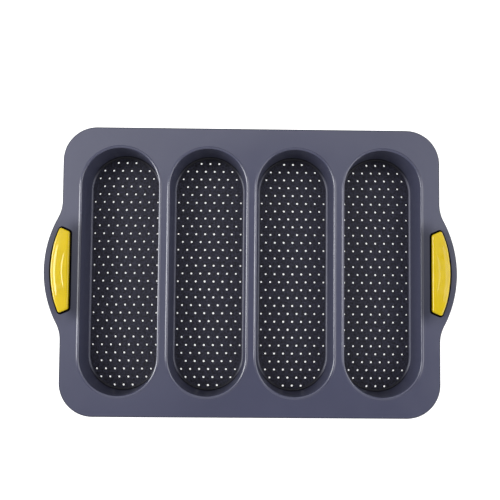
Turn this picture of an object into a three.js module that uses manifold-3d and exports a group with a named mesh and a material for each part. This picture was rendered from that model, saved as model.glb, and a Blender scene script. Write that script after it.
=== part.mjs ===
// A four-loaf baguette tray: one silicone moulding with four flat-bottomed wells, a steel wire buried
// in its rim to keep it flat, and a soft grip plugged through the lug at each end.
// Millimetres, +Z up. The origin is the middle of the footprint, on the surface the tray stands on.
// X runs along the tray, from lug to lug, and each well runs along Y.

import * as THREE from "three";
import { mergeVertices } from "three/addons/utils/BufferGeometryUtils.js";
import Module from "manifold-3d";

const wasm = await Module();
wasm.setup();

// Wells
const WELL_COUNT = 4;
const WELL_PITCH = 84.3;
const WELL_END_Y = 82;            // centres of a well's two round ends, either side of the middle
const MOUTH_RADIUS = 36.9;        // half-width of a well where its wall would meet the flange's top
const FLOOR_RADIUS = 35.6;        // half-width where its wall would meet its flat floor
const FLOOR_TOP = 2;              // the floor is this thick, and stands on z = 0
const WALL_THICKNESS = 2;
const BASE_FILLET = 3;

// The bead round each mouth and the bevel round each floor, as turns between straight flanks
const BEAD_SLOPE = THREE.MathUtils.degToRad(27);
const BEAD_FOOT = 1.2;            // turn from the flange up the outer flank
const BEAD_CREST = 0.9;           // turn over the top
const BEAD_LIP = 0.8;             // turn from the inner flank down the wall
const BEAD_FLANK = 0.6;
const BEVEL_SLOPE = THREE.MathUtils.degToRad(28);
const BEVEL_WALL = 1.8;           // turn from the wall into the bevel
const BEVEL_FLANK = 0.3;
const BEVEL_FOOT = 2;             // turn from the bevel into the floor

// Flange, rim and lugs
const FLANGE_TOP = 32;
const FLANGE_THICKNESS = 3;
const SIDE_X = 182;               // half the length between the short sides, without the lugs
const SIDE_Y = 139;
const CORNER_RADIUS = 32.5;
const LUG_TIP_X = 198.7;
const LUG_RADIUS = 108;
const LUG_FILLET = 34;            // hollow curve that leads each lug back into the short side
const RIM_DEPTH = 6;
const RIM_WIDTH = 8;
const RIM_END_WIDTH = 12.7;       // the rim is wider along the short sides, where it carries the lugs
const POCKET_DRAFT = 0.8;
const RIM_TOP_EDGE = 1;
const RIM_BASE_EDGE = 1.2;

// Wire frame inside the rim
const WIRE_RADIUS = 1.5;
const WIRE_INSET = 3.2;           // from the rim's outer face to the wire's centre
const WIRE_Z = FLANGE_TOP - RIM_DEPTH / 2;
const FIT_GAP = 0.3;              // clearance between pieces that touch on the real tray
const PIN_RADIUS = 1.25;          // holes left by the mould's pins that hold the wire
const PIN_SIDE_Y = 90;            // where the pins stand on the two short sides

// Grips
const GRIP_INNER_X = 173.8;
const GRIP_OUTER_X = 191.5;
const GRIP_CORNER_Y = 37;         // where a grip's sloping end would meet its straight inner edge
const GRIP_END_ANGLE = THREE.MathUtils.degToRad(24);
const GRIP_CORNER_RADIUS = 2;
const GRIP_CROWN = 3.8;           // how far a grip stands above the flange
const GRIP_BELLY = 1.4;           // how far it hangs below the lug
const GRIP_EDGE = 1.6;            // rounding of its edges
const RECESS_GAP = 1.5;           // open groove round a grip
const LEDGE_DEPTH = 2.6;          // the lug's ledge that a grip laps above and below
const LEDGE_TOP = 28;
const LEDGE_BASE = 26.6;
const GRIP_UNDERCUT = 0.9;        // how far a grip's upper pad draws in below the flange's top

const RIM_BASE = FLANGE_TOP - RIM_DEPTH;
const LUG_CENTRE_X = LUG_TIP_X - LUG_RADIUS;
const WALL_SLOPE = Math.atan2(FLANGE_TOP - FLOOR_TOP, MOUTH_RADIUS - FLOOR_RADIUS);
const BEAD_CREST_STEP = 4;        // the step of the bead's section that stands highest
const OVERSHOOT = 1;              // how far a cutting solid runs past the face that it cuts
const SHARPEST_CORNER = 0.4;

// ---------------------------------------------------------------- outlines

// Points along an arc, anticlockwise, or clockwise round a hollow curve.
function arc(x, y, radius, from, to, segments, clockwise = false) {
  return new THREE.EllipseCurve(x, y, radius, radius, from, to, clockwise).getPoints(segments);
}

// Arcs that meet end to end share a point, which is kept once.
function joinArcs(arcs) {
  const points = arcs.flat();
  return points.filter((point, i) => point.distanceTo(points.at(i - 1)) > 1e-6);
}

function turnedHalfway(points) {
  return points.map((point) => point.clone().negate());
}

// Outline of the tray with both lugs, grown outwards by the given amount.
function trayOutline(grow) {
  const filletX = SIDE_X + LUG_FILLET;
  const reach = LUG_RADIUS + LUG_FILLET;
  const filletY = Math.sqrt(reach ** 2 - (filletX - LUG_CENTRE_X) ** 2);
  const swing = Math.asin(filletY / reach);
  const cornerX = SIDE_X - CORNER_RADIUS;
  const cornerY = SIDE_Y - CORNER_RADIUS;
  const corner = CORNER_RADIUS + grow;
  const hollow = LUG_FILLET - grow;
  const right = [
    arc(cornerX, -cornerY, corner, -Math.PI / 2, 0, 8),
    arc(filletX, -filletY, hollow, Math.PI, Math.PI - swing, 4, true),
    arc(LUG_CENTRE_X, 0, LUG_RADIUS + grow, -swing, swing, 12),
    arc(filletX, filletY, hollow, Math.PI + swing, Math.PI, 4, true),
    arc(cornerX, cornerY, corner, 0, Math.PI / 2, 8),
  ].flat();
  return joinArcs([right, turnedHalfway(right)]);
}

// Rounded rectangle between the thick rims, seen from below.
function pocketOutline(grow) {
  const radius = CORNER_RADIUS - RIM_WIDTH + grow;
  const cornerX = SIDE_X - RIM_END_WIDTH + grow - radius;
  const cornerY = SIDE_Y - RIM_WIDTH + grow - radius;
  const right = [
    arc(cornerX, -cornerY, radius, -Math.PI / 2, 0, 8),
    arc(cornerX, cornerY, radius, 0, Math.PI / 2, 8),
  ].flat();
  return joinArcs([right, turnedHalfway(right)]);
}

// Stadium of a given half-width on the centre line of one well.
function wellOutline(centreX, radius) {
  return joinArcs([
    arc(centreX, WELL_END_Y, radius, 0, Math.PI, 20),
    arc(centreX, -WELL_END_Y, radius, Math.PI, 2 * Math.PI, 20),
  ]);
}

// Outline of the right-hand grip: straight inside, bowed outside, with two sloping ends.
function gripOutline(grow) {
  const corner = Math.max(GRIP_CORNER_RADIUS + grow, SHARPEST_CORNER);
  const bow = GRIP_OUTER_X - LUG_CENTRE_X + grow;
  const innerX = GRIP_INNER_X - grow + corner;
  const along = new THREE.Vector2(Math.cos(GRIP_END_ANGLE), Math.sin(GRIP_END_ANGLE));
  const normal = new THREE.Vector2(-along.y, along.x);
  const end = new THREE.Vector2(GRIP_INNER_X, GRIP_CORNER_Y).addScaledVector(normal, grow - corner);
  const innerCentre = end.clone().addScaledVector(along, (innerX - end.x) / along.x);

  const fromLug = innerCentre.clone().sub(new THREE.Vector2(LUG_CENTRE_X, 0));
  const half = fromLug.dot(along);
  const slide = -half + Math.sqrt(half ** 2 - fromLug.lengthSq() + (bow - corner) ** 2);
  const tip = innerCentre.clone().addScaledVector(along, slide);
  const swing = Math.atan2(tip.y, tip.x - LUG_CENTRE_X);
  const endFacing = normal.angle();
  const upper = [
    arc(tip.x, tip.y, corner, swing, endFacing, 4),
    arc(innerCentre.x, innerCentre.y, corner, endFacing, Math.PI, 3),
  ].flat();
  const lower = upper.map((point) => new THREE.Vector2(point.x, -point.y)).reverse();
  return joinArcs([arc(LUG_CENTRE_X, 0, bow, -swing, swing, 12), upper, lower]);
}

// ---------------------------------------------------------------- solids

// Skin through a stack of outlines. The profile lists [size, z] from the bottom to the top, and a
// closed profile runs back to its start, which makes a ring.
function loft(outlineAt, profile, closed = false) {
  const rings = profile.map(([size, z]) => outlineAt(size).map((p) => new THREE.Vector3(p.x, p.y, z)));
  const count = rings[0].length;
  const faces = [];
  const spans = closed ? rings.length : rings.length - 1;
  for (let k = 0; k < spans; k++) {
    const low = k * count;
    const high = ((k + 1) % rings.length) * count;
    for (let i = 0; i < count; i++) {
      const j = (i + 1) % count;
      faces.push([low + i, low + j, high + j], [low + i, high + j, high + i]);
    }
  }
  if (!closed) {
    const last = (rings.length - 1) * count;
    const cap = (ring) => THREE.ShapeUtils.triangulateShape(ring.map((p) => new THREE.Vector2(p.x, p.y)), []);
    faces.push(...cap(rings[0]).map(([a, b, c]) => [c, b, a]));
    faces.push(...cap(rings.at(-1)).map((face) => face.map((i) => i + last)));
  }
  const geometry = new THREE.BufferGeometry().setFromPoints(rings.flat());
  geometry.setIndex(faces.flat());
  return geometry;
}

function solid(geometry) {
  const bare = geometry.clone();
  bare.deleteAttribute("normal");
  bare.deleteAttribute("uv");
  const merged = mergeVertices(bare);
  return new wasm.Manifold(new wasm.Mesh({
    numProp: 3,
    vertProperties: new Float32Array(merged.attributes.position.array),
    triVerts: new Uint32Array(merged.index.array),
  }));
}

function geometryOf(manifold) {
  const mesh = manifold.getMesh();
  const geometry = new THREE.BufferGeometry();
  geometry.setAttribute("position", new THREE.BufferAttribute(mesh.vertProperties, 3));
  geometry.setIndex([...mesh.triVerts]);
  return geometry;
}

function joinAll(first, others) {
  return others.reduce((whole, next) => whole.add(solid(next)), first);
}

function cutAll(first, cutters) {
  return cutters.reduce((whole, next) => whole.subtract(solid(next)), first);
}

function onBothEnds(geometry) {
  return [geometry, geometry.clone().rotateZ(Math.PI)];
}

// Part of a rounded edge as [size, z] steps, from one angle to another.
function roundEdge(size, z, width, height, from, to, steps = 3) {
  return Array.from({ length: steps + 1 }, (_, i) => {
    const angle = THREE.MathUtils.lerp(from, to, i / steps);
    return [size + width * Math.cos(angle), z + height * Math.sin(angle)];
  });
}

// A section as [size, z] steps that go inwards from [0, 0]. Each turn is a radius and the slopes that
// it starts and ends with, and a straight flank leads from each turn to the next.
function turnedSection(turns, flank, steps = 2) {
  const section = [[0, 0]];
  const advance = (length, slope) => {
    const [size, z] = section.at(-1);
    section.push([size - length * Math.cos(slope), z + length * Math.sin(slope)]);
  };
  turns.forEach(([radius, first, last], k) => {
    if (k > 0) advance(flank, first);
    const bend = (last - first) / steps;
    for (let i = 0; i < steps; i++) advance(radius * Math.abs(bend), first + (i + 0.5) * bend);
  });
  return section;
}

// ---------------------------------------------------------------- tray body

function wallRadius(z) {
  return THREE.MathUtils.mapLinear(z, FLOOR_TOP, FLANGE_TOP, FLOOR_RADIUS, MOUTH_RADIUS);
}

// The bead from its outer foot on the flange, over the crest and down to the wall.
function beadSection() {
  const section = turnedSection([
    [BEAD_FOOT, 0, BEAD_SLOPE],
    [BEAD_CREST, BEAD_SLOPE, -BEAD_SLOPE],
    [BEAD_LIP, -BEAD_SLOPE, -WALL_SLOPE],
  ], BEAD_FLANK);
  const [endSize, endZ] = section.at(-1);
  const grow = wallRadius(FLANGE_TOP + endZ) - endSize;
  return section.map(([size, z]) => [size + grow, z + FLANGE_TOP]);
}

// The bevel from the wall down to the edge of the flat floor.
function bevelSection() {
  const section = turnedSection([
    [BEVEL_WALL, -WALL_SLOPE, -BEVEL_SLOPE],
    [BEVEL_FOOT, -BEVEL_SLOPE, 0],
  ], BEVEL_FLANK);
  const startZ = FLOOR_TOP - section.at(-1)[1];
  return section.map(([size, z]) => [size + wallRadius(startZ), z + startZ]);
}

function wellCentres() {
  return Array.from({ length: WELL_COUNT }, (_, i) => (i - (WELL_COUNT - 1) / 2) * WELL_PITCH);
}

// The tray's plate at full rim depth, with a rounded outer edge.
function platePlan() {
  return loft(trayOutline, [
    [-RIM_BASE_EDGE, RIM_BASE],
    [0, RIM_BASE + RIM_BASE_EDGE],
    ...roundEdge(-RIM_TOP_EDGE, FLANGE_TOP - RIM_TOP_EDGE, RIM_TOP_EDGE, RIM_TOP_EDGE, 0, Math.PI / 2),
  ]);
}

// What is cut from under the plate to leave the thin flange inside the thick rim.
function flangePocket() {
  return loft(pocketOutline, [
    [0, RIM_BASE - OVERSHOOT],
    [-POCKET_DRAFT, FLANGE_TOP - FLANGE_THICKNESS],
  ]);
}

function wellShell(centreX) {
  const base = wallRadius(BASE_FILLET) + WALL_THICKNESS - BASE_FILLET;
  return loft((radius) => wellOutline(centreX, radius), [
    ...roundEdge(base, BASE_FILLET, BASE_FILLET, BASE_FILLET, -Math.PI / 2, 0),
    [wallRadius(FLANGE_TOP - OVERSHOOT) + WALL_THICKNESS, FLANGE_TOP - OVERSHOOT],
  ]);
}

// The outer side of a bead, up to its crest.
function beadPad(centreX) {
  const outerSide = beadSection().slice(0, BEAD_CREST_STEP + 1);
  return loft((radius) => wellOutline(centreX, radius), [
    [outerSide[0][0], FLANGE_TOP - OVERSHOOT],
    ...outerSide,
  ]);
}

// The hollow of a well, which also shapes the inner side of its bead.
function wellHollow(centreX) {
  const innerSide = beadSection().slice(BEAD_CREST_STEP).reverse();
  const [crest, crestZ] = innerSide.at(-1);
  return loft((radius) => wellOutline(centreX, radius), [
    ...bevelSection().reverse(),
    ...innerSide,
    [crest, crestZ + OVERSHOOT],
  ]);
}

// Ring of round section that follows the rim: the wire itself, or the passage that holds it.
function rimRing(radius) {
  const steps = 8;
  const section = Array.from({ length: steps }, (_, i) => {
    const angle = (i + 0.5) * 2 * Math.PI / steps;
    return [radius * Math.cos(angle) - WIRE_INSET, radius * Math.sin(angle) + WIRE_Z];
  });
  return loft(trayOutline, section, true);
}

function pinHoles() {
  const depth = WIRE_Z - RIM_BASE + OVERSHOOT;
  const pin = new THREE.CylinderGeometry(PIN_RADIUS, PIN_RADIUS, depth, 10).rotateX(Math.PI / 2);
  const longSides = wellCentres().flatMap((x) => [-1, 1].map((side) => [x, side * (SIDE_Y - WIRE_INSET)]));
  const shortSides = [-1, 1].flatMap((side) => [-1, 1].map((end) => [
    end * (SIDE_X - WIRE_INSET), side * PIN_SIDE_Y]));
  return [...longSides, ...shortSides].map(([x, y]) => pin.clone().translate(x, y, WIRE_Z - depth / 2));
}

// Recess above and below the lug's ledge, and the window through it.
function gripSeat() {
  return loft(gripOutline, [
    [RECESS_GAP, RIM_BASE - OVERSHOOT],
    [RECESS_GAP, LEDGE_BASE],
    [-LEDGE_DEPTH, LEDGE_BASE],
    [-LEDGE_DEPTH, LEDGE_TOP],
    [RECESS_GAP, LEDGE_TOP],
    [RECESS_GAP, FLANGE_TOP + OVERSHOOT],
  ]);
}

function makeTrayBody() {
  const centres = wellCentres();
  const plate = solid(platePlan()).subtract(solid(flangePocket()));
  const raised = joinAll(plate, [
    ...centres.map(wellShell),
    ...centres.map(beadPad),
  ]);
  return geometryOf(cutAll(raised, [
    ...centres.map(wellHollow),
    ...onBothEnds(gripSeat()),
    rimRing(WIRE_RADIUS + FIT_GAP),
    ...pinHoles(),
  ]));
}

// ---------------------------------------------------------------- grips

// A grip is one plug: a crowned pad above the ledge, a neck through the window and a pad below.
function makeGrip() {
  const upperBase = LEDGE_TOP + FIT_GAP;
  const lowerTop = LEDGE_BASE - FIT_GAP;
  const neck = -LEDGE_DEPTH - FIT_GAP;
  const crownBase = FLANGE_TOP + GRIP_CROWN - GRIP_EDGE;
  const bellyTop = RIM_BASE - GRIP_BELLY + GRIP_EDGE;
  return loft(gripOutline, [
    ...roundEdge(-GRIP_EDGE, bellyTop, GRIP_EDGE, GRIP_EDGE, -Math.PI / 2, 0),
    [0, lowerTop],
    [neck, lowerTop],
    [neck, upperBase],
    [-GRIP_UNDERCUT, upperBase],
    ...roundEdge(-GRIP_EDGE, crownBase, GRIP_EDGE, GRIP_EDGE, 0, Math.PI / 2),
  ]);
}

// ---------------------------------------------------------------- assembly

const silicone = new THREE.MeshStandardMaterial({ color: "#5a5c6a", roughness: 0.45, metalness: 0 });
const gripSilicone = new THREE.MeshStandardMaterial({ color: "#ecd02a", roughness: 0.3, metalness: 0 });
const steel = new THREE.MeshStandardMaterial({ color: "#b8bbc0", roughness: 0.3, metalness: 1 });

function named(name, geometry, material) {
  const mesh = new THREE.Mesh(geometry, material);
  mesh.name = name;
  return mesh;
}

const tray = new THREE.Group();
const gripGeometry = makeGrip();
const leftGrip = named("grip_left", gripGeometry, gripSilicone);
leftGrip.rotation.z = Math.PI;
tray.add(
  named("tray_body", makeTrayBody(), silicone),
  named("rim_frame", rimRing(WIRE_RADIUS), steel),
  named("grip_right", gripGeometry, gripSilicone),
  leftGrip,
);

export default tray;
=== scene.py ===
"""Looks of a four-loaf silicone baguette tray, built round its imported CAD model. Metres, +Z up."""

import math

import bpy
import numpy as np
from mathutils import Euler, Matrix, Vector
from mathutils.geometry import delaunay_2d_cdt


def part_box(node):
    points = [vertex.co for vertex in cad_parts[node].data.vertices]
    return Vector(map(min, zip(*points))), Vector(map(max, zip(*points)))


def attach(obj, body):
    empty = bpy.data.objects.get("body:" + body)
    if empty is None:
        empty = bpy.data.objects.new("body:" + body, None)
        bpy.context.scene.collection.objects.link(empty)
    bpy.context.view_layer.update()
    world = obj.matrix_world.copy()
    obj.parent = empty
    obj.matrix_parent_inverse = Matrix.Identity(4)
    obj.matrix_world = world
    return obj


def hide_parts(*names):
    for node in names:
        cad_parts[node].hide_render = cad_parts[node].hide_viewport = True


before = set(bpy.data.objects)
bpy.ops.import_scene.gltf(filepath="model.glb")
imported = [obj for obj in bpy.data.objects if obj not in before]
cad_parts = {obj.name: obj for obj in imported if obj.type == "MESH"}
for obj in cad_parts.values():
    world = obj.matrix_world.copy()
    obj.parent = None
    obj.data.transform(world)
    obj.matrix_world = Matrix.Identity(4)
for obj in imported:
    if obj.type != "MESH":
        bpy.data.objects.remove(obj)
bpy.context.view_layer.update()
body_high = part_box("tray_body")[1]
grip_low, grip_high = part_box("grip_right")

# Wells
WELL_COUNT = 4
WELL_PITCH = 0.0843
WELL_END_Y = 0.082            # centres of a well's two round ends, either side of the middle
MOUTH_RADIUS = 0.0369
FLOOR_RADIUS = 0.0356         # where the wall would meet the flat floor
FLOOR_TOP = 0.002
WALL_THICKNESS = 0.002
BASE_FILLET = 0.003

# The bead round each mouth and the bevel round each floor, as turns between straight flanks
BEAD_SLOPE = math.radians(27)
BEAD_FOOT = 0.0012            # turn from the flange up the outer flank
BEAD_CREST = 0.0009           # turn over the top
BEAD_LIP = 0.0008             # turn from the inner flank down the wall
BEAD_FLANK = 0.0006
BEVEL_SLOPE = math.radians(28)
BEVEL_WALL = 0.0018           # turn from the wall into the bevel
BEVEL_FLANK = 0.0003
BEVEL_FOOT = 0.0020           # turn from the bevel into the floor

# Perforations: staggered rows inside a stadium on each floor
HOLE_PITCH = 0.009
HOLE_ROW_PITCH = 0.008
HOLE_ROWS = 14                # rows either side of the middle row
HOLE_FIELD_RADIUS = 0.032
HOLE_FIELD_SHIFT = -0.0006    # of the whole field along its well
HOLE_RADIUS = 0.00107         # in the middle of the field
HOLE_SHRINK = 0.20            # how much smaller the holes are at the sides of the field
HOLE_TOP_EDGE = 0.0004        # rounding of each hole's upper rim
HOLE_BASE_EDGE = 0.0002
HOLE_SIDES = 16

# Flange, rim and lugs
FLANGE_TOP = 0.032
FLANGE_THICKNESS = 0.003
SIDE_X = 0.182                # half the length between the short sides, without the lugs
CORNER_RADIUS = 0.0325
LUG_RADIUS = 0.108
LUG_FILLET = 0.034
RIM_DEPTH = 0.006
RIM_WIDTH = 0.008
RIM_END_WIDTH = 0.0127
POCKET_DRAFT = 0.0008
RIM_TOP_EDGE = 0.0010
RIM_BASE_EDGE = 0.0012

# Wire frame inside the rim, and the pin holes that held it in the mould
WIRE_RADIUS = 0.0015
WIRE_INSET = 0.0032
PIN_RADIUS = 0.00125
PIN_REACH = 0.8               # how far a pin hole's end is below the wire's axis, in wire radii
PIN_SIDE_Y = 0.090

# Grips
GRIP_CORNER_Y = 0.037
GRIP_END_ANGLE = math.radians(24)
GRIP_CORNER_RADIUS = 0.002
GRIP_EDGE = 0.0016
RECESS_GAP = 0.0015
LEDGE_DEPTH = 0.0026
LEDGE_TOP = 0.0280
LEDGE_BASE = 0.0266
CROWN_FALL = 0.00025          # how far a grip's top falls from its middle to its sides and its ends
INNER_STEP_X = 0.1805
INNER_STEP_RADIUS = 0.058
INNER_STEP_DEPTH = 0.00038
INNER_STEP_WIDTH = 0.0010
INNER_STEP_REACH = 0.020
INNER_STEP_FADE = 0.008
OUTER_STEP_INSET = 0.0039     # from the grip's bowed edge
OUTER_STEP_DEPTH = 0.00062
OUTER_STEP_WIDTH = 0.0024
OUTER_STEP_REACH = 0.029
OUTER_STEP_FADE = 0.012
GRIP_UNDERCUT = 0.0009        # how far a grip's upper pad draws in below the flange's top
FIT_GAP = 0.0003
SHARPEST_CORNER = 0.0004
SOFT_EDGE = 0.0003            # rounding of the recess, window, pocket and pin hole edges
GRIP_MESH_STEP = 0.0006
GRIP_MESH_MARGIN = 0.0003

SIDE_Y = body_high.y
LUG_CENTRE_X = body_high.x - LUG_RADIUS
RIM_BASE = FLANGE_TOP - RIM_DEPTH
WIRE_Z = FLANGE_TOP - RIM_DEPTH / 2
QUARTER = math.pi / 2

SATIN, GRAIN, WALL, BORE, EDGE = range(5)       # material slots of the tray body

# Steps round the arcs and the rounded edges
CORNER_STEPS = 24
FILLET_STEPS = 10
LUG_STEPS = 36
POCKET_STEPS = 20
BOW_STEPS = 48                # ends of a well, and a grip's bowed side
TIP_STEPS = 8
INNER_CORNER_STEPS = 6
PIN_SIDES = 20
WIRE_SIDES = 20
TURN_STEPS = 5
SOFT_STEPS = 3
BASE_STEPS = 5
RIM_TOP_STEPS = 6
GRIP_EDGE_STEPS = 8

# Edges sharper than this, in degrees, shade as creases
BODY_CREASE = 38
GRIP_CREASE = 60

# How the triangulation is asked for: only what is inside the outlines, with points this near as one
CDT_INSIDE = 2
CDT_NEAR = 1e-9
SAME_PLACE = 1e-9

# Where a noise's values mostly lie, and a mix node's sockets for colours
NOISE_LOW, NOISE_HIGH = 0.3, 0.7
MIX_FIRST, MIX_SECOND, MIX_COLOR = 6, 7, 2

SILICONE_IOR = 1.43
FULL_GLOSS = 0.5              # specular level of plain silicone
BODY_TONES = (0.0285, 0.0300, 0.052), (0.0315, 0.0330, 0.057)     # linear colours it drifts between

# Painted shadow of the grips: the flange's colour is darkened and its gloss dulled between each outer
# well and its grip, and less so on the lug
STRIP_START_X = 0.157
STRIP_FULL_X = 0.165
LUG_START_X = 0.168
LUG_FULL_X = 0.180
LUG_SHARE = 0.45
STRIP_FULL_Y = 0.036
STRIP_END_Y = 0.056

# Painted shade: the end walls of the wells are darkened and dulled at their foot, where the floor meets
# them
END_START_Y = 0.088
END_FULL_Y = 0.108
END_FOOT_Z = 0.0035
END_WALL_Z = 0.0060
END_WALL_SHARE = 0.10

# Stage, light and camera
STAGE_HALF = 4.0
STAGE_Z = -0.0002
STAGE_GREY = 0.35
STAGE_GLOW = 0.88
ROOM_GLOW = 0.3
SOFT_BOXES = (                # name, place, width, height and radiance; each faces the tray
    ("back_box", (-0.40, 0.85, 1.5), 2.2, 1.0, 2.3),
    ("front_box", (0, -1.4, 0.9), 2.4, 1.4, 1.3),
    ("left_high_box", (-1.0, 0, 1.5), 0.9, 1.8, 1.0),
    ("right_high_box", (0.95, 0.6, 1.5), 0.9, 1.4, 1.4),
    ("left_box", (-1.53, 0.1, 0.82), 0.7, 1.5, 16.5),
    ("right_box", (1.5, 0.0, 0.8), 1.3, 2.2, 4.3),
)
CAMERA_PLACE = (-0.0078, -0.0269, 0.5857)
CAMERA_TILT = (-2.504, 0.688, -0.522)           # degrees
CAMERA_LENS = 41.6            # mm, on a sensor 36 mm wide
CAMERA_SENSOR = 36
CAMERA_SHIFT_Y = 0.0494


# ---------------------------------------------------------------- outlines

def arc(x, y, radius, start, stop, steps):
    """Points along an arc. It runs clockwise where stop is below start."""
    angles = np.linspace(start, stop, steps + 1)
    return np.column_stack([x + radius * np.cos(angles), y + radius * np.sin(angles)])


def join_arcs(arcs):
    """One closed outline, with the points that neighbouring arcs share kept once."""
    points = np.vstack(arcs)
    gaps = np.linalg.norm(points - np.roll(points, 1, axis=0), axis=1)
    return points[gaps > SAME_PLACE]


def tray_outline(grow):
    """The tray with both lugs, grown outwards by the given amount."""
    fillet_x = SIDE_X + LUG_FILLET
    reach = LUG_RADIUS + LUG_FILLET
    fillet_y = math.sqrt(reach ** 2 - (fillet_x - LUG_CENTRE_X) ** 2)
    swing = math.asin(fillet_y / reach)
    corner_x = SIDE_X - CORNER_RADIUS
    corner_y = SIDE_Y - CORNER_RADIUS
    corner = CORNER_RADIUS + grow
    hollow = LUG_FILLET - grow
    right = np.vstack([
        arc(corner_x, -corner_y, corner, -QUARTER, 0, CORNER_STEPS),
        arc(fillet_x, -fillet_y, hollow, math.pi, math.pi - swing, FILLET_STEPS),
        arc(LUG_CENTRE_X, 0, LUG_RADIUS + grow, -swing, swing, LUG_STEPS),
        arc(fillet_x, fillet_y, hollow, math.pi + swing, math.pi, FILLET_STEPS),
        arc(corner_x, corner_y, corner, 0, QUARTER, CORNER_STEPS),
    ])
    return join_arcs([right, -right])


def pocket_outline(grow):
    """Rounded rectangle between the thick rims, seen from below."""
    radius = CORNER_RADIUS - RIM_WIDTH + grow
    corner_x = SIDE_X - RIM_END_WIDTH + grow - radius
    corner_y = SIDE_Y - RIM_WIDTH + grow - radius
    right = np.vstack([
        arc(corner_x, -corner_y, radius, -QUARTER, 0, POCKET_STEPS),
        arc(corner_x, corner_y, radius, 0, QUARTER, POCKET_STEPS),
    ])
    return join_arcs([right, -right])


def well_outline(radius):
    """Stadium of a given half-width, about the middle of one well."""
    end = arc(0, WELL_END_Y, radius, 0, math.pi, BOW_STEPS)
    return join_arcs([end, -end])


def grip_outline(grow):
    """The right-hand grip: straight inside, bowed outside, with two sloping ends."""
    corner = max(GRIP_CORNER_RADIUS + grow, SHARPEST_CORNER)
    bow = grip_high.x - LUG_CENTRE_X + grow
    along = np.array([math.cos(GRIP_END_ANGLE), math.sin(GRIP_END_ANGLE)])
    normal = np.array([-along[1], along[0]])
    end = np.array([grip_low.x, GRIP_CORNER_Y]) + normal * (grow - corner)
    inner = end + along * (grip_low.x - grow + corner - end[0]) / along[0]
    from_lug = inner - (LUG_CENTRE_X, 0)
    half = from_lug @ along
    tip = inner + along * (math.sqrt(half ** 2 - from_lug @ from_lug + (bow - corner) ** 2) - half)
    swing = math.atan2(tip[1], tip[0] - LUG_CENTRE_X)
    facing = QUARTER + GRIP_END_ANGLE
    upper = np.vstack([
        arc(tip[0], tip[1], corner, swing, facing, TIP_STEPS),
        arc(inner[0], inner[1], corner, facing, math.pi, INNER_CORNER_STEPS),
    ])
    lower = (upper * (1, -1))[::-1]
    return join_arcs([arc(LUG_CENTRE_X, 0, bow, -swing, swing, BOW_STEPS), upper, lower])


def turned_section(turns, flanks):
    """Runs of a section that turns through slopes, with straight flanks between the turns. A turn is
    its radius and its two slopes. Returns how far each step has gone inwards and upwards."""
    lengths, slopes = [0], [0]
    for (radius, first, last), flank in zip(turns, (*flanks, 0)):
        bends = np.linspace(first, last, TURN_STEPS + 1)
        lengths += [radius * abs(last - first) / TURN_STEPS] * TURN_STEPS + [flank]
        slopes += [*(bends[:-1] + bends[1:]) / 2, last]
    keep = len(lengths) - 1
    inwards = np.cumsum(lengths * np.cos(slopes))[:keep]
    upwards = np.cumsum(lengths * np.sin(slopes))[:keep]
    return inwards, upwards


def round_edge(size, z, radius, start, stop, steps):
    """Part of a rounded edge about its centre, as (size, z) steps."""
    angles = np.linspace(start, stop, steps + 1)
    return list(zip(size + radius * np.cos(angles), z + radius * np.sin(angles)))


def lower_lip(size):
    """The soft edge of an opening in the rim's underside."""
    centre_z = RIM_BASE + SOFT_EDGE
    return round_edge(size + SOFT_EDGE, centre_z, SOFT_EDGE, math.pi, 3 * QUARTER, SOFT_STEPS)


# ---------------------------------------------------------------- skins

class Skin:
    """Vertices and faces of one closed body, gathered patch by patch. Patches share their rings."""

    def __init__(self):
        self.points = []
        self.faces = []
        self.kinds = []

    def ring(self, outline, z):
        start = len(self.points)
        heights = np.broadcast_to(z, len(outline))
        self.points += [(x, y, height) for (x, y), height in zip(outline.tolist(), heights.tolist())]
        return list(range(start, len(self.points)))

    def face(self, corners, kind):
        self.faces.append(corners)
        self.kinds.append(kind)

    def band(self, first, second, kind=SATIN):
        """Quads from one ring to the next along the surface, which keeps the air on its right."""
        count = len(first)
        for i in range(count):
            j = (i + 1) % count
            self.face((first[i], first[j], second[j], second[i]), kind)

    def stack(self, outline_at, profile, kind=SATIN, start=None):
        """Bands through a profile of (size, z) steps. Returns the first and the last ring."""
        rings = [self.ring(outline_at(size), z) for size, z in profile]
        if start:
            rings.insert(0, start)
        for first, second in zip(rings, rings[1:]):
            self.band(first, second, kind)
        return rings[0], rings[-1]

    def plate(self, outer, holes=(), kind=SATIN, up=True, inside=()):
        """Triangles inside one ring and outside the others, with extra points inside if given."""
        start = len(self.points)
        self.points += inside
        indices = list(outer)
        edges = [(i, (i + 1) % len(outer)) for i in range(len(outer))]
        for hole in holes:
            base = len(indices)
            edges += [(base + i, base + (i + 1) % len(hole)) for i in range(len(hole))]
            indices += hole
        indices += range(start, len(self.points))
        flat = [Vector(self.points[i][:2]) for i in indices]
        made = delaunay_2d_cdt(flat, edges, [list(range(len(outer)))], CDT_INSIDE, CDT_NEAR)
        for triangle in made[2]:
            corners = [indices[made[3][v][0]] for v in triangle]
            self.face(corners if up else corners[::-1], kind)

    def build(self, name, materials, crease=BODY_CREASE):
        mesh = bpy.data.meshes.new(name)
        mesh.from_pydata(self.points, [], self.faces)
        mesh.polygons.foreach_set("material_index", self.kinds)
        mesh.polygons.foreach_set("use_smooth", [True] * len(self.faces))
        mesh.set_sharp_from_angle(angle=math.radians(crease))
        for material in materials:
            mesh.materials.append(material)
        piece = bpy.data.objects.new(name, mesh)
        bpy.context.scene.collection.objects.link(piece)
        normals = piece.modifiers.new("flat faces stay flat", "WEIGHTED_NORMAL")
        normals.keep_sharp = True
        return piece


# ---------------------------------------------------------------- tray body

def wall_radius(z):
    return float(np.interp(z, (FLOOR_TOP, FLANGE_TOP), (FLOOR_RADIUS, MOUTH_RADIUS)))


def well_centres():
    return [(i - (WELL_COUNT - 1) / 2) * WELL_PITCH for i in range(WELL_COUNT)]


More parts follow.
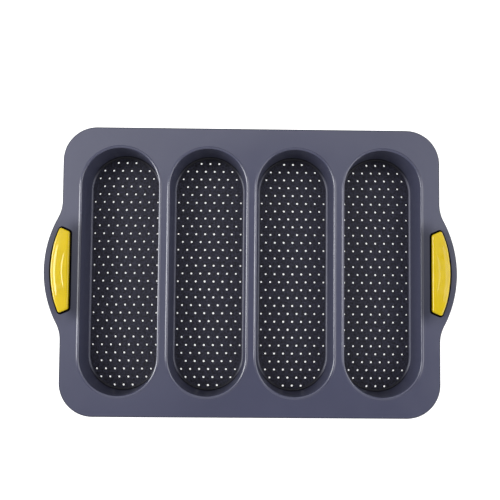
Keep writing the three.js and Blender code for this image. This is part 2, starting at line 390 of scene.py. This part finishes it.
def hole_centres():
    """Places of one floor's holes, about the middle of its well."""
    places = []
    columns = math.ceil(HOLE_FIELD_RADIUS / HOLE_PITCH)
    for row in range(-HOLE_ROWS, HOLE_ROWS + 1):
        y = row * HOLE_ROW_PITCH
        past_end = max(abs(y) - WELL_END_Y, 0)
        for column in range(-columns, columns + 1):
            x = (column + (row % 2) / 2) * HOLE_PITCH
            if math.hypot(x, past_end) <= HOLE_FIELD_RADIUS:
                places.append((x, y + HOLE_FIELD_SHIFT))
    return places


def hole_radius(from_middle):
    return HOLE_RADIUS * (1 - HOLE_SHRINK * (from_middle / HOLE_FIELD_RADIUS) ** 2)


def add_hole(skin, x, y, bore):
    """The lining of one hole, from the rim on the floor's top to the rim on its underside."""
    def outline(radius):
        return arc(x, y, radius, 0, 2 * math.pi, HOLE_SIDES)[:-1]
    top, base = HOLE_TOP_EDGE, HOLE_BASE_EDGE
    # Lined with the bore silicone, whose near-black colour is painted shade inside the hole
    return skin.stack(outline, [
        *round_edge(bore + top, FLOOR_TOP - top, top, QUARTER, math.pi, SOFT_STEPS),
        *round_edge(bore + base, base, base, math.pi, 3 * QUARTER, 1),
    ], BORE)


def add_well(skin, x):
    """One well, from its bead's outer foot down the inside and up the outside to the flange."""
    def outline(radius):
        return well_outline(radius) + (x, 0)
    wall_slope = -math.atan2(FLANGE_TOP - FLOOR_TOP, MOUTH_RADIUS - FLOOR_RADIUS)
    inwards, upwards = turned_section([
        (BEAD_FOOT, 0, BEAD_SLOPE),
        (BEAD_CREST, BEAD_SLOPE, -BEAD_SLOPE),
        (BEAD_LIP, -BEAD_SLOPE, wall_slope),
    ], [BEAD_FLANK, BEAD_FLANK])
    bead_z = FLANGE_TOP + upwards
    bead = wall_radius(bead_z[-1]) + inwards[-1] - inwards
    inwards, upwards = turned_section([
        (BEVEL_WALL, wall_slope, -BEVEL_SLOPE),
        (BEVEL_FOOT, -BEVEL_SLOPE, 0),
    ], [BEVEL_FLANK])
    bevel_z = FLOOR_TOP + upwards - upwards[-1]
    bevel = wall_radius(bevel_z[0]) - inwards
    foot, mouth = skin.stack(outline, list(zip(bead, bead_z)))
    _, floor_edge = skin.stack(outline, list(zip(bevel, bevel_z)), WALL, start=mouth)
    holes = [add_hole(skin, x + across, along, hole_radius(across)) for across, along in hole_centres()]
    # The floors take the grained silicone, darkened as painted shade of the wells' bottoms
    skin.plate(floor_edge, [top for top, _ in holes], GRAIN)

    base = wall_radius(BASE_FILLET) + WALL_THICKNESS
    flange_base = FLANGE_TOP - FLANGE_THICKNESS
    base_edge, shell_top = skin.stack(outline, [
        *round_edge(base - BASE_FILLET, BASE_FILLET, BASE_FILLET, -QUARTER, 0, BASE_STEPS),
        (wall_radius(flange_base) + WALL_THICKNESS, flange_base),
    ])
    skin.plate(base_edge, [bottom for _, bottom in holes], GRAIN, up=False)
    return foot, shell_top


def add_grip_seat(skin, side):
    """The recess, ledge and window that hold one grip, from the top face down to the lower one."""
    def outline(grow):
        return grip_outline(grow) * side
    lip, lip_z = RECESS_GAP + SOFT_EDGE, FLANGE_TOP - SOFT_EDGE
    # Lined with the bore silicone, whose near-black colour is painted shade in the recess round the grip
    return skin.stack(outline, [
        *round_edge(lip, lip_z, SOFT_EDGE, QUARTER, math.pi, SOFT_STEPS),
        (RECESS_GAP, LEDGE_TOP),
        (-LEDGE_DEPTH, LEDGE_TOP),
        (-LEDGE_DEPTH, LEDGE_BASE),
        (RECESS_GAP, LEDGE_BASE),
        *lower_lip(RECESS_GAP),
    ], BORE)


def pin_places():
    wire_x, wire_y = SIDE_X - WIRE_INSET, SIDE_Y - WIRE_INSET
    long_sides = [(x, side * wire_y) for x in well_centres() for side in (-1, 1)]
    short_sides = [(end * wire_x, side * PIN_SIDE_Y) for end in (-1, 1) for side in (-1, 1)]
    return long_sides + short_sides


def add_pin_hole(skin, x, y):
    """A blind hole in the rim's underside that just reaches the wire."""
    def outline(radius):
        return arc(x, y, radius, 0, 2 * math.pi, PIN_SIDES)[:-1]
    end, mouth = skin.stack(outline, [
        (PIN_RADIUS, WIRE_Z - WIRE_RADIUS * PIN_REACH),
        *lower_lip(PIN_RADIUS),
    ])
    skin.plate(end, up=False)
    return mouth


def make_tray_body(materials):
    skin = Skin()
    wells = [add_well(skin, x) for x in well_centres()]
    seats = [add_grip_seat(skin, side) for side in (1, -1)]
    pins = [add_pin_hole(skin, x, y) for x, y in pin_places()]
    # The rim's side and edges take the edge silicone, darkened as painted shade
    rim_base, rim_top = skin.stack(tray_outline, [
        *round_edge(-RIM_BASE_EDGE, RIM_BASE + RIM_BASE_EDGE, RIM_BASE_EDGE, -QUARTER, 0, BASE_STEPS),
        *round_edge(-RIM_TOP_EDGE, FLANGE_TOP - RIM_TOP_EDGE, RIM_TOP_EDGE, 0, QUARTER, RIM_TOP_STEPS),
    ], EDGE)
    pocket_top, pocket_base = skin.stack(pocket_outline, [
        (-POCKET_DRAFT, FLANGE_TOP - FLANGE_THICKNESS),
        *lower_lip(0),
    ])
    skin.plate(rim_top, [foot for foot, _ in wells] + [top for top, _ in seats])
    skin.plate(pocket_top, [shell for _, shell in wells], up=False)
    skin.plate(rim_base, [pocket_base] + [bottom for _, bottom in seats] + pins, up=False)
    return skin.build("tray_body_moulding", materials)


# ---------------------------------------------------------------- grips and wire

def smooth_step(value, low, high):
    t = np.clip((value - low) / (high - low), 0, 1)
    return t * t * (3 - 2 * t)


def grip_top(x, y):
    """Height of the right-hand grip's top: a soft crown that goes down towards its bow in two crescent
    steps, a crisp one in the middle and a soft one near the edge. Both fade out at their ends."""
    bow = grip_high.x - LUG_CENTRE_X
    from_edge = bow - np.hypot(x - LUG_CENTRE_X, y)
    across = (x - (grip_low.x + grip_high.x) / 2) / (grip_high.x - grip_low.x) * 2
    crown = grip_high.z - CROWN_FALL * across ** 2 - CROWN_FALL * (y / grip_high.y) ** 2
    line_x = INNER_STEP_X - y ** 2 / (2 * INNER_STEP_RADIUS)
    past_inner, past_outer = x - line_x, OUTER_STEP_INSET - from_edge
    drop = 0
    for past, depth, width, reach, fade in (
        (past_inner, INNER_STEP_DEPTH, INNER_STEP_WIDTH, INNER_STEP_REACH, INNER_STEP_FADE),
        (past_outer, OUTER_STEP_DEPTH, OUTER_STEP_WIDTH, OUTER_STEP_REACH, OUTER_STEP_FADE),
    ):
        ends = 1 - smooth_step(np.abs(y), reach - fade, reach)
        drop = drop + depth * smooth_step(past, -width / 2, width / 2) * ends
    return crown - drop


def points_inside(outline, spacing, margin):
    """A staggered grid of points inside a convex outline, clear of its edge by a margin."""
    low, high = outline.min(axis=0), outline.max(axis=0)
    rows = np.arange(low[1], high[1], spacing * math.sqrt(3) / 2)
    grid = np.array([(x, y) for k, y in enumerate(rows)
                     for x in np.arange(low[0] + (k % 2) * spacing / 2, high[0], spacing)])
    edge = np.roll(outline, -1, axis=0) - outline
    inward = np.column_stack([-edge[:, 1], edge[:, 0]]) / np.linalg.norm(edge, axis=1)[:, None]
    clear = ((grid[:, None, :] - outline) * inward).sum(axis=2).min(axis=1)
    return grid[clear > margin]


def make_grip(name, side, material):
    """A plug: a crowned pad above the ledge, a neck through the window and a pad below."""
    skin = Skin()

    def outline(grow):
        return grip_outline(grow) * side
    neck = -LEDGE_DEPTH - FIT_GAP
    lower_top = LEDGE_BASE - FIT_GAP
    upper_base = LEDGE_TOP + FIT_GAP
    inset = grip_outline(-GRIP_EDGE)
    edge_heights = grip_top(inset[:, 0], inset[:, 1])
    crown_edge = [(size, edge_heights + drop) for size, drop in
                  round_edge(-GRIP_EDGE, -GRIP_EDGE, GRIP_EDGE, 0, QUARTER, GRIP_EDGE_STEPS)]
    belly, crown = skin.stack(outline, [
        *round_edge(-GRIP_EDGE, grip_low.z + GRIP_EDGE, GRIP_EDGE, -QUARTER, 0, GRIP_EDGE_STEPS),
        (0, lower_top),
        (neck, lower_top),
        (neck, upper_base),
        (-GRIP_UNDERCUT, upper_base),
        *crown_edge,
    ])
    grid = points_inside(inset, GRIP_MESH_STEP, GRIP_MESH_MARGIN)
    heights = grip_top(grid[:, 0], grid[:, 1])
    skin.plate(crown, inside=np.column_stack([grid * side, heights]).tolist())
    skin.plate(belly, up=False)
    return skin.build(name, [material], GRIP_CREASE)


def make_wire(material):
    skin = Skin()
    section = round_edge(-WIRE_INSET, WIRE_Z, WIRE_RADIUS, 0, 2 * math.pi, WIRE_SIDES)
    first, last = skin.stack(tray_outline, section[:-1])
    skin.band(last, first)
    return skin.build("rim_wire", [material])


# ---------------------------------------------------------------- materials

class Nodes:
    """A Principled material and the few procedural nodes that these surfaces share."""

    def __init__(self, name, ior, metallic=0.0):
        self.material = bpy.data.materials.new(name)
        self.material.use_nodes = True
        self.tree = self.material.node_tree
        self.shader = self.tree.nodes["Principled BSDF"]
        self.shader.inputs["IOR"].default_value = ior
        self.shader.inputs["Metallic"].default_value = metallic
        self.place = self.tree.nodes.new("ShaderNodeTexCoord").outputs["Object"]

    def noise(self, scale, detail=2.0, roughness=0.5):
        node = self.tree.nodes.new("ShaderNodeTexNoise")
        node.inputs["Scale"].default_value = scale
        node.inputs["Detail"].default_value = detail
        node.inputs["Roughness"].default_value = roughness
        self.tree.links.new(self.place, node.inputs["Vector"])
        return node.outputs["Fac"]

    def spread(self, value, low, high):
        """Stretches a noise, which stays near a half, over a range."""
        node = self.tree.nodes.new("ShaderNodeMapRange")
        node.inputs["From Min"].default_value = NOISE_LOW
        node.inputs["From Max"].default_value = NOISE_HIGH
        node.inputs["To Min"].default_value = low
        node.inputs["To Max"].default_value = high
        self.tree.links.new(value, node.inputs["Value"])
        return node.outputs["Result"]

    def tint(self, value, dark, light):
        """Colour that drifts between two tones."""
        node = self.tree.nodes.new("ShaderNodeMix")
        node.data_type = "RGBA"
        node.inputs[MIX_FIRST].default_value = (*dark, 1)
        node.inputs[MIX_SECOND].default_value = (*light, 1)
        self.tree.links.new(self.spread(value, 0, 1), node.inputs["Factor"])
        self.tree.links.new(node.outputs[MIX_COLOR], self.shader.inputs["Base Color"])
        return node.outputs[MIX_COLOR]

    def ramp(self, value, low, high, start=0.0, stop=1.0):
        """Goes smoothly from start to stop while a value goes from low to high."""
        node = self.tree.nodes.new("ShaderNodeMapRange")
        node.interpolation_type = "SMOOTHSTEP"
        node.inputs["From Min"].default_value = low
        node.inputs["From Max"].default_value = high
        node.inputs["To Min"].default_value = start
        node.inputs["To Max"].default_value = stop
        self.tree.links.new(value, node.inputs["Value"])
        return node.outputs["Result"]

    def math(self, operation, first, second=None):
        node = self.tree.nodes.new("ShaderNodeMath")
        node.operation = operation
        self.tree.links.new(first, node.inputs[0])
        if second:
            self.tree.links.new(second, node.inputs[1])
        return node.outputs["Value"]

    def axes(self):
        node = self.tree.nodes.new("ShaderNodeSeparateXYZ")
        self.tree.links.new(self.place, node.inputs["Vector"])
        return node.outputs

    def grip_shadow_mask(self):
        """Mask of the grips' painted shadow: one between a grip and the next well, less on the lug
        outside the grip, none elsewhere.
        """
        axes = self.axes()
        from_middle = self.math("ABSOLUTE", axes["X"])
        from_axis = self.math("ABSOLUTE", axes["Y"])
        outwards = self.ramp(from_middle, STRIP_START_X, STRIP_FULL_X)
        beside = self.ramp(from_axis, STRIP_FULL_Y, STRIP_END_Y, 1, 0)
        onto_lug = self.ramp(from_middle, LUG_START_X, LUG_FULL_X, 1, LUG_SHARE)
        strip = self.math("MULTIPLY", outwards, beside)
        return self.math("MULTIPLY", strip, onto_lug)

    def end_shade_mask(self):
        """Mask of the painted shade at the wells' ends: one low down at the ends of the wells, less
        higher up their end walls, none elsewhere.
        """
        axes = self.axes()
        from_axis = self.math("ABSOLUTE", axes["Y"])
        low = self.ramp(axes["Z"], END_FOOT_Z, END_WALL_Z, 1, END_WALL_SHARE)
        return self.math("MULTIPLY", self.ramp(from_axis, END_START_Y, END_FULL_Y), low)

    def paint_shade(self, mask, color, dark, gloss):
        """Paints shade: darkens a colour and dulls the gloss where a mask says so."""
        node = self.tree.nodes.new("ShaderNodeMix")
        node.data_type = "RGBA"
        node.inputs[MIX_SECOND].default_value = (*dark, 1)
        self.tree.links.new(mask, node.inputs["Factor"])
        self.tree.links.new(color, node.inputs[MIX_FIRST])
        self.tree.links.new(node.outputs[MIX_COLOR], self.shader.inputs["Base Color"])
        level = self.ramp(mask, 0, 1, FULL_GLOSS, gloss)
        self.tree.links.new(level, self.shader.inputs["Specular IOR Level"])

    def rough(self, value, low, high):
        self.tree.links.new(self.spread(value, low, high), self.shader.inputs["Roughness"])

    def gloss(self, level):
        self.shader.inputs["Specular IOR Level"].default_value = level

    def bump(self, layers):
        """Bumps laid one on another, each given as its height source and its depth in metres."""
        previous = None
        for height, depth in layers:
            node = self.tree.nodes.new("ShaderNodeBump")
            node.inputs["Distance"].default_value = depth
            self.tree.links.new(height, node.inputs["Height"])
            if previous:
                self.tree.links.new(previous, node.inputs["Normal"])
            previous = node.outputs["Normal"]
        self.tree.links.new(previous, self.shader.inputs["Normal"])


def satin_silicone():
    """Smooth moulded silicone with a faint orange peel, and the grips' shadow painted on beside them as a
    darker colour and duller gloss.
    """
    nodes = Nodes("silicone_satin", SILICONE_IOR)
    color = nodes.tint(nodes.noise(14, 3), *BODY_TONES)
    # Painted shadow of the grips: this darker colour and duller gloss beside them
    nodes.paint_shade(nodes.grip_shadow_mask(), color, (0.014, 0.015, 0.026), 0.27)
    nodes.rough(nodes.noise(60, 3), 0.21, 0.27)
    nodes.bump([(nodes.noise(30), 0.0002), (nodes.noise(1500), 0.00002)])
    return nodes.material


def wall_silicone():
    """The same silicone where the mould's walls left it more matt, with painted shade darkening the foot
    of the ends.
    """
    nodes = Nodes("silicone_wall", SILICONE_IOR)
    color = nodes.tint(nodes.noise(14, 3), *BODY_TONES)
    # Painted shade at the foot of the wells' end walls: this darker colour and duller gloss
    nodes.paint_shade(nodes.end_shade_mask(), color, (0.008, 0.008, 0.012), 0.16)
    nodes.rough(nodes.noise(60, 3), 0.42, 0.50)
    nodes.bump([(nodes.noise(30), 0.0002), (nodes.noise(1500), 0.00002)])
    return nodes.material


def edge_silicone():
    """The rim's side and its rounded edges, duller than the flange, and darker in colour as painted shade
    of the rounded edge.
    """
    nodes = Nodes("silicone_edge", SILICONE_IOR)
    nodes.tint(nodes.noise(14, 3), (0.012, 0.013, 0.022), (0.015, 0.016, 0.027))
    nodes.rough(nodes.noise(60, 3), 0.50, 0.60)
    nodes.gloss(0.25)
    return nodes.material


def grained_silicone():
    """The matt, finely pitted face of the floors. The mottle is its grain; its colour, far darker than
    the body's own silicone, is painted shade of the wells' bottoms.
    """
    nodes = Nodes("silicone_grain", SILICONE_IOR)
    nodes.tint(nodes.noise(600, 4), (0.0005, 0.0005, 0.002), (0.018, 0.018, 0.033))
    nodes.rough(nodes.noise(500, 3), 0.55, 0.75)
    nodes.gloss(0.25)
    nodes.bump([(nodes.noise(700, 4, 0.7), 0.0003)])
    return nodes.material


def bore_silicone():
    """The dull lining of the perforations, and of the recesses and windows that hold the grips,
    near-black as painted shade inside them.
    """
    nodes = Nodes("silicone_bore", SILICONE_IOR)
    nodes.tint(nodes.noise(900, 2), (0.001, 0.001, 0.002), (0.003, 0.003, 0.005))
    nodes.rough(nodes.noise(900, 2), 0.85, 0.95)
    nodes.gloss(0.05)
    return nodes.material


def grip_silicone():
    """Bright, fairly glossy silicone."""
    nodes = Nodes("grip_yellow", SILICONE_IOR)
    nodes.tint(nodes.noise(90, 3), (0.315, 0.228, 0.002), (0.345, 0.252, 0.003))
    nodes.rough(nodes.noise(200, 3), 0.11, 0.16)
    nodes.gloss(0.30)
    nodes.bump([(nodes.noise(1200), 0.00002)])
    shader = nodes.shader
    shader.inputs["Subsurface Weight"].default_value = 0.15
    shader.inputs["Subsurface Radius"].default_value = (1.0, 0.7, 0.1)
    shader.inputs["Subsurface Scale"].default_value = 0.002
    return nodes.material


def drawn_steel():
    """Stainless wire with the fine marks of drawing."""
    nodes = Nodes("wire_steel", 1.5, metallic=1.0)
    nodes.tint(nodes.noise(500, 4), (0.48, 0.49, 0.50), (0.60, 0.61, 0.62))
    nodes.rough(nodes.noise(900, 3), 0.22, 0.38)
    nodes.bump([(nodes.noise(2500), 0.00001)])
    return nodes.material


# ---------------------------------------------------------------- stage, light and camera

def make_stage():
    """A pale floor that glows, so that it stays pale under the tray and shows white in its holes."""
    signs = ((-1, -1), (1, -1), (1, 1), (-1, 1))
    corners = [(x * STAGE_HALF, y * STAGE_HALF, STAGE_Z) for x, y in signs]
    mesh = bpy.data.meshes.new("stage_floor")
    mesh.from_pydata(corners, [], [(0, 1, 2, 3)])
    floor = bpy.data.objects.new("stage_floor", mesh)
    bpy.context.scene.collection.objects.link(floor)
    material = bpy.data.materials.new("stage_white")
    material.use_nodes = True
    shader = material.node_tree.nodes["Principled BSDF"]
    shader.inputs["Base Color"].default_value = (STAGE_GREY, STAGE_GREY, STAGE_GREY, 1)
    shader.inputs["Roughness"].default_value = 0.9
    shader.inputs["Emission Color"].default_value = (1, 1, 1, 1)
    shader.inputs["Emission Strength"].default_value = STAGE_GLOW
    mesh.materials.append(material)


def add_soft_box(name, place, width, height, radiance):
    light = bpy.data.lights.new(name, "AREA")
    light.shape = "RECTANGLE"
    light.size = width
    light.size_y = height
    light.energy = radiance * math.pi * width * height
    lamp = bpy.data.objects.new(name, light)
    lamp.location = place
    lamp.rotation_euler = (-Vector(place)).to_track_quat("-Z", "Y").to_euler()
    bpy.context.scene.collection.objects.link(lamp)


def make_lights():
    for soft_box in SOFT_BOXES:
        add_soft_box(*soft_box)
    world = bpy.data.worlds.new("studio")
    world.use_nodes = True
    background = world.node_tree.nodes["Background"]
    background.inputs["Color"].default_value = (1, 1, 1, 1)
    background.inputs["Strength"].default_value = ROOM_GLOW
    bpy.context.scene.world = world
    bpy.context.scene.view_settings.view_transform = "Standard"


def make_camera():
    """The camera looks almost straight down, from a little in front and left of the middle."""
    data = bpy.data.cameras.new("view")
    data.sensor_width = CAMERA_SENSOR
    data.lens = CAMERA_LENS
    data.shift_y = CAMERA_SHIFT_Y
    camera = bpy.data.objects.new("view", data)
    tilt = Euler([math.radians(angle) for angle in CAMERA_TILT], "XYZ")
    facing = tilt.to_matrix().transposed().to_4x4()
    camera.matrix_world = Matrix.Translation(CAMERA_PLACE) @ facing
    bpy.context.scene.collection.objects.link(camera)
    bpy.context.scene.camera = camera


# ---------------------------------------------------------------- the scene

make_camera()
body = make_tray_body([
    satin_silicone(),
    grained_silicone(),
    wall_silicone(),
    bore_silicone(),
    edge_silicone(),
])
wire = make_wire(drawn_steel())
yellow = grip_silicone()
grips = [make_grip("grip_left_plug", -1, yellow), make_grip("grip_right_plug", 1, yellow)]

for piece, node, slot in (
    (body, "tray_body", "silicone"),
    (wire, "rim_frame", "frame_steel"),
    (grips[0], "grip_left", "grip"),
    (grips[1], "grip_right", "grip"),
):
    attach(piece, "root")
    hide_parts(node)

make_stage()
make_lights()
